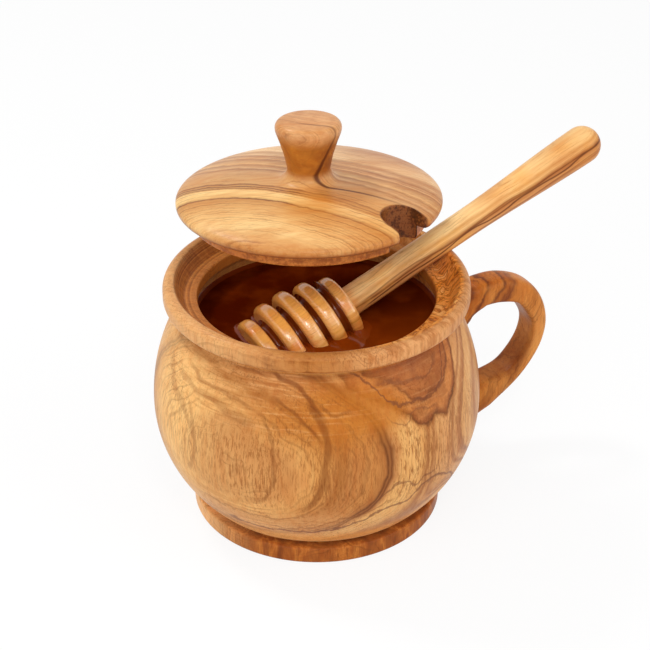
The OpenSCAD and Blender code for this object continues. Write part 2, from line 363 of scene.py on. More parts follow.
def lid_mesh():
    """The lid with its notch: columns from the knob's top over the edge to the middle below."""
    edge = lid_edge()
    n = len(edge)
    x, y, notch, turn = edge.T
    turn = np.radians(turn)
    inside_r = 24.0
    near = inside_r * np.stack([np.cos(turn), np.sin(turn)], 1)
    far = np.stack([x, y], 1)
    reach = np.hypot(x, y)
    length = np.linalg.norm(far - near, axis=1)
    rows = []

    def ring(r, z):
        rows.append(np.stack([r * np.cos(turn), r * np.sin(turn), np.full(n, z)], 1))

    def row(xy, z):
        rows.append(np.column_stack([xy, z]))

    def along(radius):
        """Where each column is at that distance from the axis, or its end if that is nearer."""
        low, high = np.zeros(n), np.ones(n)
        for _ in range(30):
            mid = (low + high) / 2
            at = near + (far - near) * mid[:, None]
            short = np.hypot(*at.T) < radius
            low, high = np.where(short, mid, low), np.where(short, high, mid)
        return near + (far - near) * np.where(reach < radius, 1, low)[:, None]

    for r, z in knob_outline()[1:-1]:
        ring(r, z)
    for r in np.linspace(DOME_END, inside_r, 16)[1:-1]:
        ring(r, dome(r))
    soft = 0.8 * notch
    for s in np.sin(np.linspace(0, math.pi / 2, 44)):
        at = near + (far - near) * s
        gap = np.clip(soft - (1 - s) * length, 0, soft)
        drop = soft - np.sqrt(np.maximum(soft**2 - gap**2, 0))
        row(at, [dome(r) for r in np.hypot(*at.T)] - drop)
    top = np.array([dome(r) for r in reach]) - soft
    for q in np.linspace(0, 1, 12)[1:]:
        bend = math.radians(80 * q)
        rim_r = LID_R - EDGE_ROUND * (1 - math.cos(bend))
        rim_z = EDGE_ROUND * (1 - math.sin(bend)) - UNDER_T
        inward = (1 - rim_r / LID_R) * (1 - notch)
        row(far * (1 - inward)[:, None], rim_z * (1 - notch) + (top + (-UNDER_T - top) * q) * notch)
    for r in np.linspace(LID_R - EDGE_ROUND - 0.3, SPIGOT_R, 6):
        row(along(r), np.full(n, -UNDER_T))
    side = along(SPIGOT_R)
    for z in np.linspace(-UNDER_T, SPIGOT_Z + SPIGOT_ROUND, 8)[1:]:
        row(side, np.full(n, z))
    for r, z in arc(SPIGOT_R - SPIGOT_ROUND, SPIGOT_Z + SPIGOT_ROUND, SPIGOT_ROUND, 0, -90, 8)[1:]:
        row(along(r), np.full(n, z))
    hollow = ((SPIGOT_R - 3.5, 0), (SPIGOT_R - 5, 0), (SPIGOT_R - 5.4, 0.5), (SPIGOT_R - 6, 1.4), (29, 1.4))
    for r, up in hollow:
        row(along(r), np.full(n, SPIGOT_Z + up))
    for r in (22, 14, 6):
        ring(r, SPIGOT_Z + 1.4)
    points = np.concatenate(rows)
    az = math.radians(NOTCH_AZ)
    swing = np.array([[math.cos(az), -math.sin(az), 0], [math.sin(az), math.cos(az), 0], [0, 0, 1]])
    points = (points @ swing.T).tolist()
    last = len(points) - n
    faces = [(a + (j + 1) % n, a + j, a + n + j, a + n + (j + 1) % n)
             for a in range(0, last, n) for j in range(n)]
    faces.append(tuple(range(n)))
    faces.append(tuple(range(last, last + n))[::-1])
    return points, faces


def honey_mesh(into_dipper, outline, rings=150, steps=300):
    """The honey: it climbs a little at the wall and more where it runs off the dipper."""
    wall_r = inner(HONEY_Z) - HONEY_FIT
    radii = wall_r * np.sqrt(np.linspace(0, 1, rings + 1)[1:])
    turn = np.linspace(0, 2 * math.pi, steps, endpoint=False)
    r, a = np.meshgrid(radii, turn, indexing="ij")
    flat = np.stack([r * np.cos(a), r * np.sin(a), np.full_like(r, HONEY_Z)], -1).reshape(-1, 3)
    local = (np.c_[flat * MM, np.ones(len(flat))] @ np.array(into_dipper).T)[:, :3] / MM
    meridian = np.stack([np.hypot(local[:, 0], local[:, 1]), local[:, 2]], 1)
    gap, inside = outline_gap(meridian, np.array(outline))
    # It pools on the dipper's lower side, and climbs less past the disc nearest the stick
    pooled = np.clip((2 - local[:, 1]) / 9, 0, 1)
    pooled = pooled * pooled * (3 - 2 * pooled)
    most = (0.5 + 1.2 * pooled) * (1 - 0.8 * np.clip((local[:, 2] + 47) / 6, 0, 1))
    climb = most * np.exp(-gap / (0.7 + 1.5 * pooled))
    rise = np.where(inside, np.maximum(most - 0.9 * gap, -0.6), climb)
    rise += 0.8 * np.exp(-(wall_r - r.ravel()) / 0.9)
    flat[:, 2] += rise
    points = [(0, 0, HONEY_Z - 0.4)] + flat.tolist()
    faces = [(0, 1 + j, 1 + (j + 1) % steps) for j in range(steps)]
    last = 1 + (rings - 1) * steps
    for a in range(1, last, steps):
        faces += band(a, a + steps, steps)
    wall = [(inner(z) - HONEY_FIT, z) for z in np.linspace(HONEY_Z - 0.5, BOWL_Z, 24)]
    for r, z in wall + [(HONEY_FLOOR_R, FLOOR_T + 0.1)]:
        points += circle(r, z, turn)
        faces += band(last, last + steps, steps)
        last += steps
    faces.append(tuple(range(last, last + steps))[::-1])
    return points, faces


def outline_gap(points, outline):
    """Distance of each (radius, height) point from the outline, and whether it is inside."""
    best = np.full(len(points), 1e9)
    for a, b in zip(outline, outline[1:]):
        edge = b - a
        t = np.clip((points - a) @ edge / max(edge @ edge, 1e-12), 0, 1)
        best = np.minimum(best, np.linalg.norm(points - a - t[:, None] * edge, axis=1))
    crossings = np.zeros(len(points), int)
    for a, b in zip(outline, outline[1:]):
        spans = (a[1] > points[:, 1]) != (b[1] > points[:, 1])
        if abs(b[1] - a[1]) > 1e-9:
            at = a[0] + (points[:, 1] - a[1]) * (b[0] - a[0]) / (b[1] - a[1])
            crossings += spans & (at > points[:, 0])
    return best, crossings % 2 == 1


def film_mesh(steps=120):
    """Honey that clings in the dipper's four grooves, deeper at the discs."""
    turn = 2 * math.pi * np.arange(steps) / steps
    half = (DISC_PITCH - DISC_T) / 2 + 0.15
    points, faces = [], []
    for i in range(4):
        middle = -HEAD_IN - (i + 0.5) * DISC_PITCH
        climb = 2.8 if i in (1, 2) else 2.2
        profile = [(CORE_R + FILM_T + climb * (abs(t) ** 2.5), middle + half * t)
                   for t in np.linspace(-1, 1, 13)]
        profile = [(CORE_R - 0.3, middle - half)] + profile + [(CORE_R - 0.3, middle + half)]
        base, rows = len(points), len(profile)
        for k, (r, z) in enumerate(profile):
            points += circle(r, z, turn)
            a, b = base + k * steps, base + (k + 1) % rows * steps
            faces += [(a + j, a + (j + 1) % steps, b + (j + 1) % steps, b + j) for j in range(steps)]
    return points, faces


# Materials

MOST_STOPS = 30


def linear(r, g, b):
    """A colour named in screen values from 0 to 255, as the shader takes it."""
    parts = [c / 255 for c in (r, g, b)]
    return tuple(c / 12.92 if c <= 0.04045 else ((c + 0.055) / 1.055) ** 2.4 for c in parts) + (1.0,)


def emptied(owner):
    """The nodes and links of a material or a world, with nothing in them yet."""
    owner.use_nodes = True
    tree = owner.node_tree
    tree.nodes.clear()
    return tree.nodes, tree.links


class Graph:
    """A material's nodes, written as expressions."""

    def __init__(self, name):
        self.material = bpy.data.materials.new(name)
        self.nodes, self.links = emptied(self.material)
        self.shader = self.new("BsdfPrincipled")
        output = self.new("OutputMaterial")
        self.links.new(self.shader.outputs[0], output.inputs["Surface"])

    def put(self, socket, value):
        if isinstance(value, bpy.types.NodeSocket):
            self.links.new(value, socket)
        else:
            socket.default_value = value

    def new(self, kind, **values):
        """A node with a value or a socket put in each input that is named."""
        node = self.nodes.new("ShaderNode" + kind)
        for name, value in values.items():
            self.put(node.inputs[name], value)
        return node

    def math(self, operation, a, b=0.0, c=0.0, clamp=False):
        node = self.new("Math")
        node.operation = operation
        node.use_clamp = clamp
        for socket, value in zip(node.inputs, (a, b, c)):
            self.put(socket, value)
        return node.outputs[0]

    def times(self, a, b):
        return self.math("MULTIPLY", a, b)

    def plus(self, a, b):
        return self.math("ADD", a, b)

    def minus(self, a, b):
        return self.math("SUBTRACT", a, b)

    def times_plus(self, a, b, c):
        return self.math("MULTIPLY_ADD", a, b, c)

    def vector(self, operation, a, b=(0, 0, 0), scale=None):
        node = self.new("VectorMath")
        node.operation = operation
        self.put(node.inputs[0], a)
        if scale is None:
            self.put(node.inputs[1], b)
        else:
            self.put(node.inputs["Scale"], scale)
        return node.outputs["Value" if operation in ("DOT_PRODUCT", "LENGTH", "DISTANCE") else "Vector"]

    def place(self, at):
        """The point in the frame of a piece that was put at a matrix, in mm."""
        back = at.inverted()
        node = self.new("Mapping", Rotation=back.to_euler(), Location=back.translation)
        self.put(node.inputs["Vector"], self.new("TexCoord").outputs["Object"])
        return self.vector("SCALE", node.outputs[0], scale=1000.0)

    def split(self, p):
        return self.new("SeparateXYZ", Vector=p).outputs[:]

    def ramp(self, value, low, high, stops):
        """Colours along a number, from (number, r, g, b) stops; two halves where one node is too small."""
        stops = sorted(stops, key=lambda stop: stop[0])
        half = len(stops) // 2
        if len(stops) > MOST_STOPS:
            below = self.ramp(value, low, stops[half][0], stops[:half + 1])
            above = self.ramp(value, stops[half][0], high, stops[half:])
            return self.mix(self.math("GREATER_THAN", value, stops[half][0]), below, above)
        node = self.new("ValToRGB")
        self.put(node.inputs[0], self.math("DIVIDE", self.minus(value, low), high - low))
        elements = node.color_ramp.elements
        while len(elements) > 1:
            elements.remove(elements[-1])
        for i, (at, *colour) in enumerate(stops):
            element = elements[0] if i == 0 else elements.new((at - low) / (high - low))
            element.position = (at - low) / (high - low)
            element.color = linear(*colour)
        return node.outputs[0]

    def curve(self, value, low, high, bottom, top, points):
        """A smooth line through (number, result) points."""
        node = self.new("FloatCurve")
        share = self.math("DIVIDE", self.minus(value, low), high - low, clamp=True)
        self.put(node.inputs["Value"], share)
        line = node.mapping.curves[0]
        scaled = [((x - low) / (high - low), (y - bottom) / (top - bottom)) for x, y in points]
        for point, at in zip(line.points, (scaled[0], scaled[-1])):
            point.location = at
        for at in scaled[1:-1]:
            line.points.new(*at)
        node.mapping.update()
        return self.times_plus(node.outputs[0], top - bottom, bottom)

    def dot(self, p, axis):
        return self.vector("DOT_PRODUCT", p, axis)

    def noise(self, p, scale, detail=2.0, rough=0.5, distortion=0.0, result="Fac"):
        node = self.new("TexNoise", Vector=p, Scale=scale, Detail=detail, Roughness=rough,
                        Distortion=distortion)
        return node.outputs[result]

    def grain(self, p, stretch, *settings):
        """Noise that is drawn out by its own amount along each axis."""
        return self.noise(self.vector("MULTIPLY", p, stretch), *settings)

    def noise_along(self, w, detail=2.0, rough=0.5):
        """Noise that changes along one number only."""
        node = self.new("TexNoise", Scale=1, Detail=detail, Roughness=rough)
        node.noise_dimensions = "1D"
        self.put(node.inputs["W"], w)
        return node.outputs["Fac"]

    def step(self, value, low, high, to_low=0.0, to_high=1.0):
        """Goes smoothly from to_low to to_high as value goes from low to high."""
        node = self.new("MapRange")
        node.interpolation_type = "SMOOTHSTEP"
        for socket, v in zip(node.inputs, (value, low, high, to_low, to_high)):
            self.put(socket, v)
        return node.outputs[0]

    def fall(self, value, low, high):
        return self.step(value, low, high, 1.0, 0.0)

    def tint(self, socket, colour):
        """Puts in a colour, which is a socket or (r, g, b) in screen values."""
        self.put(socket, colour if isinstance(colour, bpy.types.NodeSocket) else linear(*colour))

    def mix(self, share, a, b, blend="MIX"):
        node = self.new("Mix")
        node.data_type = "RGBA"
        node.blend_type = blend
        self.put(node.inputs["Factor"], share)
        self.tint(node.inputs[6], a)
        self.tint(node.inputs[7], b)
        return node.outputs[2]

    def bump(self, height, strength, distance):
        node = self.new("Bump", Height=height, Strength=strength, Distance=distance * MM)
        return node.outputs["Normal"]


def warp(g, p, scale, amount, offset=(0, 0, 0)):
    """The point moved about by smooth noise, by up to half the amount in mm."""
    moved = g.vector("ADD", p, offset)
    colour = g.noise(moved, scale, detail=1, result="Color")
    centred = g.vector("SUBTRACT", colour, (0.5, 0.5, 0.5))
    return g.vector("ADD", p, g.vector("SCALE", centred, scale=amount))


def bumps(g, p, spots):
    """Sum of smooth hills: each is (x, y, z, radius in mm, height)."""
    total = 0.0
    for x, y, z, radius, height in spots:
        far = g.math("DIVIDE", g.vector("DISTANCE", p, (x, y, z)), radius)
        hill = g.math("EXPONENT", g.times(g.times(far, far), -1))
        total = g.plus(total, g.times(hill, height))
    return total


def patched(g, p, colour, spots, most, tone, blend="MIX"):
    """The colour with soft patches of another tone, at most that strong."""
    return g.mix(g.math("MINIMUM", bumps(g, p, spots), most), colour, tone, blend)


def wood(name, at, figure, stretch, dark, lines=0.2, pores=0.4, gloss=0.3, shine=0.15, seed=0.0):
    """Olive wood: a figure of its own, fine layers, pores stretched along the grain, an oiled finish."""
    g = Graph(name)
    p = g.place(at)
    colour, layers = figure(g, p)
    patch = g.step(g.noise(g.vector("ADD", p, (0, seed, 9)), 0.06, 2), 0.38, 0.62)
    fine = g.noise_along(g.times(layers, 1.1), 4, 0.65)
    share = g.times(g.step(fine, 0.46, 0.72), g.times_plus(patch, lines, lines * 0.4))
    colour = g.mix(share, colour, dark)

    along = g.vector("MULTIPLY", g.vector("ADD", p, (seed, seed, seed)), stretch)
    pore = g.step(g.noise(along, 2, 3, 0.65), 0.52, 0.66)
    pore = g.times(pore, g.times_plus(patch, 0.6, 0.4))
    colour = g.mix(g.times(pore, pores), colour, dark)
    streak = g.noise(along, 0.6, 4, 0.65)
    colour = g.mix(g.step(streak, 0.36, 0.7, 0, 0.3), colour, (226, 168, 112), "MULTIPLY")

    g.put(g.shader.inputs["Base Color"], colour)
    g.put(g.shader.inputs["Roughness"], g.step(streak, 0.2, 0.8, gloss, gloss + 0.12))
    g.shader.inputs["Specular IOR Level"].default_value = shine
    g.put(g.shader.inputs["Normal"], g.bump(g.minus(1, pore), 0.2, 0.05))
    return g.material


def veins(g, along, across, colour, lines):
    """Draws veins: each is (half width, share, colour, [(place along, place across), ...])."""
    for width, share, tone, points in lines:
        first, last = points[0][0], points[-1][0]
        low, high = min(a for _, a in points) - 1.0, max(a for _, a in points) + 1.0
        middle = g.curve(along, first, last, low, high, points)
        far = g.math("ABSOLUTE", g.minus(across, middle))
        line = g.step(far, width * 0.3, width, share, 0)
        ends = g.times(g.step(along, first, first + 5), g.fall(along, last - 5, last))
        colour = g.mix(g.times(line, ends), colour, tone)
    return colour


def square(g, value):
    return g.times(value, value)


def pot_figure(g, p):
    """Rings that close round a middle at the front left, a dark lobe, and a figured rim and foot."""
    moved = warp(g, p, 0.035, 5.0, (3, 8, 1))
    x, y, z = g.split(moved)
    true_z = g.split(p)[2]
    above = g.math("MAXIMUM", g.minus(z, RING_Z), 0)
    below = g.math("MAXIMUM", g.minus(RING_Z, z), 0)
    flat = g.dot(moved, (-0.515, -0.857, 0))
    bend = g.curve(flat, -POT_SPAN, POT_SPAN, -3, 1, BEND)
    sag = g.plus(g.times(square(g, above), 0.009), g.times(square(g, below), 0.0125))
    layers = g.minus(flat, g.times(sag, bend))
    wobble = g.minus(g.noise(p, 0.14, 1, 0.5), 0.5)
    layers = g.times_plus(wobble, 3, layers)
    colour = g.ramp(layers, -POT_SPAN, POT_SPAN, POT_LAYERS)
    top = g.times(g.step(true_z, 56, 70, 0, 0.6), g.step(flat, 38, 46))
    across = g.grain(p, (0.1, 0.1, 1), 0.5, 4, 0.65)
    colour = g.mix(top, colour, g.ramp(across, 0.3, 0.7, TAN))
    low = g.times(g.step(true_z, 20, 34, 0.55, 0), g.step(flat, 34, 44))
    colour = g.mix(low, colour, g.mix(g.step(across, 0.4, 0.6), (222, 168, 110), (198, 140, 84)))
    colour = patched(g, p, colour, POT_PALE, 0.85, (244, 196, 126))
    colour = patched(g, p, colour, POT_AMBER, 0.7, (200, 136, 74))

    turn = g.math("DEGREES", g.math("ARCTAN2", y, x))
    edge = g.curve(turn, -100, 0, 40, 120, LOBE_EDGE)
    rough = g.minus(g.noise(p, 0.16, 4, 0.65), 0.5)
    depth = g.times_plus(rough, 8, g.minus(z, edge))
    lobe = g.ramp(depth, -5, 35, LOBE_LAYERS)
    swirl = g.grain(p, (1, 1, 1.4), 0.12, 3, 0.6, 1.2)
    lobe = g.mix(g.step(swirl, 0.4, 0.62, 0.5, 0), lobe, (140, 80, 44))
    inside = g.step(depth, -3, 0.4)
    colour = g.mix(inside, colour, lobe)
    layers = g.times_plus(inside, g.minus(depth, layers), layers)

    colour = patched(g, p, colour, POT_GLOW, 0.8, (184, 110, 36))
    colour = flecked(g, p, colour, true_z, turn)
    colour = veins(g, turn, g.times_plus(wobble, 4, true_z), colour, LEVEL_VEINS)
    colour = veins(g, turn, g.times_plus(rough, 7, z), colour, BELLY_VEINS)
    swayed = g.times_plus(wobble, 3, turn)
    colour = veins(g, true_z, swayed, colour, UPRIGHT_VEINS)
    colour = rim_figure(g, p, colour, turn)
    foot = g.times(g.fall(true_z, 6, 9.5), g.step(turn, -165, -112, 0, 0.95))
    upright = g.grain(p, (0.5, 0.5, 0.16), 0.4, 3, 0.6, 0.3)
    stain = g.ramp(upright, 0.3, 0.7, STAIN)
    # Painted light: the foot and the bottom of the belly are lifted toward pale tan, against the shade
    # under the belly
    colour = g.mix(g.step(true_z, 7, 13, 0.9, 0), colour, (252, 196, 130))
    colour = g.mix(foot, colour, stain)
    # Painted light in the cove above the foot, on its front and left, against the shade in that hollow
    cove = g.times(g.step(true_z, 8, 10), g.fall(true_z, 12, 19))
    cove = g.times(cove, g.step(turn, -150, -80, 0, 0.6))
    return g.mix(cove, colour, (236, 162, 86)), layers


def flecked(g, p, colour, height, turn):
    """Short upright flecks round the belly's widest part, and level streaks above it."""
    fleck = g.grain(p, (1, 1, 0.12), 1.7, 3, 0.65)
    belt = g.times(g.step(height, 26, 37), g.fall(height, 53, 63))
    thick = g.curve(turn, -180, 0, 0, 1, FLECKS)
    share = g.times(g.step(fleck, 0.51, 0.6), g.times(belt, thick))
    colour = g.mix(share, colour, (146, 88, 40))
    level = g.grain(p, (0.07, 0.07, 1), 0.9, 4, 0.65)
    high = g.times(g.step(turn, -165, -140, 0.3, 1), g.step(turn, -100, -76, 1, 0.3))
    high = g.times(g.step(height, 54, 64), high)
    colour = g.mix(g.times(high, g.step(level, 0.5, 0.66, 0, 0.5)), colour, (168, 102, 48))
    return g.mix(g.times(high, g.step(level, 0.34, 0.48, 0.4, 0)), colour, (240, 184, 120))


def rim_figure(g, p, colour, turn):
    """The rim bead and the lid's seat: streaked at the front, pale at the left, burl with painted light at
    the right.
    """
    x, y, z = g.split(p)
    reach = g.math("SQRT", g.plus(square(g, x), square(g, y)))
    swirl = g.grain(p, (1, 1, 0.8), 0.075, 3, 0.5, 2.2)
    # The burl on the rim's right, its colours partly painted light
    burl = g.ramp(swirl, 0.25, 0.75, BURL_AND_PAINTED_LIGHT)
    marks = g.grain(p, (0.3, 1, 0.2), 0.5, 4, 0.65)
    band = g.noise_along(g.times_plus(z, 0.9, g.times(reach, 0.5)), 2)
    plain = g.ramp(g.plus(g.times(marks, 0.6), g.times(band, 0.4)),
                   0.3, 0.7, RIM_PLAIN)
    round_left = g.step(g.dot(p, (-0.94, -0.34, 0)), 20, 50, 0, 0.75)
    plain = g.mix(round_left, plain, (232, 180, 120))
    face = g.dot(p, (0.97, -0.22, 0))
    right = g.times(g.step(face, 16, 36), g.fall(reach, 48.6, 50.4))
    outer = g.mix(g.step(marks, 0.42, 0.6), (220, 162, 106), (190, 128, 76))
    plain = g.mix(g.step(face, 10, 34, 0, 0.85), plain, outer)
    tone = g.mix(right, plain, burl)
    seat = g.times(g.fall(reach, 47.2, 48.4), g.step(z, 77, 79))
    rings = g.noise_along(g.plus(g.times(reach, 1.3), g.times(z, 0.8)), 3, 0.6)
    worn = g.times_plus(marks, 0.35, g.times(rings, 0.65))
    wall_tone = g.ramp(worn, 0.35, 0.65, SEAT_WALL)
    shaded = g.mix(g.step(face, -10, 30, 0.9, 0), tone, wall_tone)
    tone = g.mix(seat, tone, shaded)
    ledge = g.ramp(worn, 0.35, 0.65, LEDGE)
    tone = g.mix(g.fall(z, 80.9, 81.8), tone, g.mix(right, ledge, burl))
    well = g.times(g.fall(reach, 40.3, 41.2), g.step(z, 60, 62))
    tone = g.mix(well, tone, (196, 120, 50))
    wall = g.minus(reach, g.step(z, 60, 72, 49.4, 44.5))
    on_rim = g.math("MAXIMUM", g.step(z, 76.6, 78.4), g.fall(wall, -0.5, 0.5))
    return g.mix(g.times(on_rim, g.step(z, 40, 41)), colour, tone)


# Height of the middle of the rings, and how far the layers reach on each side
RING_Z = 47.0
POT_SPAN = 60.0
# How much the rings bend with height, along the direction that they face
BEND = [(-60, -3), (-10, -3), (0, -2.6), (10, -1), (18, 0), (28, 0.75), (33, 1), (60, 1)]
POT_LAYERS = [
    (-60, 200, 140, 80), (-45, 188, 126, 68), (-30, 212, 156, 96), (-24, 176, 116, 66),
    (-17, 212, 158, 98), (-12, 182, 124, 74), (-7, 220, 168, 108), (-1, 214, 160, 100),
    (0.6, 170, 114, 68), (3, 186, 128, 78), (4.2, 214, 160, 104), (6.4, 168, 112, 66), (8, 212, 156, 100),
    (14, 206, 150, 92), (15.5, 172, 114, 66), (16.6, 206, 148, 88), (18, 166, 108, 60),
    (20, 212, 156, 92), (23, 224, 172, 106), (28, 220, 168, 102), (30.4, 184, 126, 74),
    (31.6, 112, 62, 32), (32.3, 150, 94, 50), (33, 100, 56, 30), (34, 170, 108, 56), (37, 190, 128, 68),
    (41, 184, 122, 66), (43.6, 174, 114, 60), (45, 192, 132, 70), (47, 196, 136, 72),
    (48.8, 216, 160, 92), (50.6, 212, 156, 92), (52, 196, 138, 80), (54, 196, 138, 80),
    (56, 208, 150, 90), (60, 204, 146, 86),
]
LOBE_EDGE = [(-100, 118), (-88, 88), (-80, 76), (-75, 72), (-70, 69), (-62, 66), (-57, 62), (-53, 57),
             (-50, 55), (-45, 57.5), (-40, 57.5), (-33, 63), (-28, 70), (-24, 78), (-12, 104), (0, 118)]
LOBE_LAYERS = [
    (-5, 191, 129, 67), (-1.4, 174, 109, 54), (-0.2, 87, 47, 28), (1.2, 154, 91, 50), (3, 193, 124, 67),
    (7, 200, 131, 71), (8.4, 113, 65, 41), (10, 167, 100, 54), (18, 174, 107, 58), (22, 148, 87, 50),
    (35, 195, 129, 67),
]
TAN = [(0.3, 176, 112, 58), (0.45, 214, 154, 92), (0.55, 190, 128, 70), (0.7, 220, 164, 104)]
STAIN = [(0.3, 118, 54, 16), (0.42, 141, 71, 21), (0.5, 155, 82, 27), (0.58, 184, 110, 42),
         (0.64, 151, 78, 25), (0.7, 132, 63, 18)]
SEAT_WALL = [(0.35, 126, 66, 20), (0.5, 176, 104, 40), (0.65, 204, 132, 60)]
LEDGE = [(0.35, 164, 98, 40), (0.47, 218, 156, 88), (0.56, 196, 130, 62), (0.65, 226, 168, 100)]
POT_PALE = [(-50, -27, 47, 17, 0.9), (-44, -30, 24, 16, 0.4), (-52, -20, 66, 16, 0.5),
            (-40, -34, 66, 14, 0.45), (-20, -50, 28, 12, 0.35)]
POT_AMBER = [(-8, -53, 38, 12, 0.5), (-18, -51, 66, 9, 0.4)]
POT_GLOW = [(3, -53, 68, 11, 0.9), (-12, -52, 64, 9, 0.5), (8, -53, 58, 8, 0.4), (18, -49, 67, 9, 0.8),
            (24, -46, 63, 6, 0.6)]
# How strongly the belly is flecked at each turn
FLECKS = [(-180, 0.2), (-150, 0.3), (-128, 0.4), (-116, 0.6), (-106, 0.65), (-98, 0.3), (-88, 0.6),
          (-76, 0.6), (-68, 0.4), (-60, 0.7), (-50, 0.6), (-36, 0.6), (-20, 0.4), (0, 0.3)]
BROWN = (134, 80, 38)
AMBER = (156, 90, 30)
RUST = (124, 66, 24)
PURPLE = (112, 66, 44)
LEVEL_VEINS = [
    (2.6, 0.3, BROWN, [(-162, 70), (-156, 65), (-150, 60), (-143, 56), (-138, 51), (-134, 46)]),
    (1.9, 0.5, AMBER, [(-116, 72.5), (-110, 71), (-103, 68), (-96, 64.5), (-91, 60), (-85, 52)]),
    (1.0, 0.5, RUST, [(-108, 71), (-103, 69), (-97, 65.5), (-92, 61.5), (-87, 54)]),
    (1.3, 0.7, RUST, [(-112, 78), (-105, 76), (-97, 73), (-92, 69.5), (-88, 65.5), (-85, 61)]),
    (0.9, 0.4, RUST, [(-92, 70), (-87, 67), (-84, 65.5), (-80, 66.5), (-76, 65)]),
    (1.6, 0.4, AMBER, [(-96, 77), (-88, 75), (-80, 72), (-72, 67)]),
    (1.1, 0.4, BROWN, [(-148, 71.5), (-138, 69), (-126, 68), (-112, 65)]),
    (1.6, 0.35, BROWN, [(-152, 67.5), (-142, 65), (-128, 63.5), (-110, 60)]),
    (1.8, 0.4, AMBER, [(-150, 76), (-138, 74.5), (-124, 73), (-108, 69)]),
    (2.2, 0.22, AMBER, [(-140, 30), (-126, 29), (-114, 31), (-104, 38)]),
]
BELLY_VEINS = [
    (0.9, 0.7, PURPLE, [(-128, 17), (-100, 18), (-88, 18), (-80, 20), (-72, 23), (-65, 26), (-57, 27),
     (-52, 31), (-45, 33), (-40, 32.5), (-33, 28), (-27, 22), (-20, 16)]),
    (0.7, 0.6, PURPLE, [(-74, 28), (-70, 31), (-66, 34), (-62, 36.5), (-58, 36.5), (-54, 34), (-50, 36),
     (-42, 38)]),
    (0.8, 0.5, BROWN, [(-110, 21), (-100, 19.5), (-93, 21), (-85, 23.5), (-78, 25), (-60, 31)]),
    (0.8, 0.4, BROWN, [(-136, 25), (-124, 24), (-110, 24.5), (-98, 27), (-90, 32), (-84, 38)]),
    (0.8, 0.7, PURPLE, [(-84, 79), (-72, 76), (-65, 70), (-60, 66), (-55, 65), (-48, 64), (-40, 67),
     (-35, 73), (-33, 76), (-20, 88)]),
    (0.8, 0.45, PURPLE, [(-70, 75), (-62, 74), (-54, 72), (-46, 71), (-40, 74), (-34, 78)]),
    (0.7, 0.45, PURPLE, [(-66, 64), (-62, 60), (-58, 58), (-54, 61), (-48, 60), (-42, 61)]),
]
UPRIGHT_VEINS = [
    (1.8, 0.6, RUST, [(28, -97), (32, -92.5), (38, -88.5), (44, -86.5), (50, -86), (57, -86.5),
     (63, -88.5), (72, -96)]),
    (1.0, 0.45, BROWN, [(30, -112), (34, -108), (40, -105), (47, -104), (54, -105), (66, -111)]),
    (1.4, 0.3, BROWN, [(32, -142), (36, -139), (42, -136.5), (47, -136), (54, -138), (62, -145)]),
    (2.4, 0.3, AMBER, [(30, -90), (36, -84), (44, -81), (52, -81), (62, -86)]),
    (0.9, 0.4, BROWN, [(26, -34), (34, -37), (42, -38.5), (50, -38.5), (60, -34)]),
]
# Burl tones, partly lifted with painted light against the shade that the stick and lid cast on the rim's
# right
BURL_AND_PAINTED_LIGHT = [
    (0.25, 233, 151, 72), (0.36, 245, 156, 58), (0.395, 214, 127, 44), (0.415, 150, 84, 30),
    (0.445, 226, 139, 51), (0.52, 252, 172, 81), (0.56, 225, 140, 57), (0.585, 160, 90, 34),
    (0.61, 232, 151, 68), (0.66, 255, 192, 109), (0.75, 233, 151, 72),
]
RIM_PLAIN = [
    (0.3, 130, 71, 25), (0.4, 153, 89, 37), (0.47, 178, 114, 55), (0.56, 185, 122, 63),
    (0.7, 153, 89, 40),
]


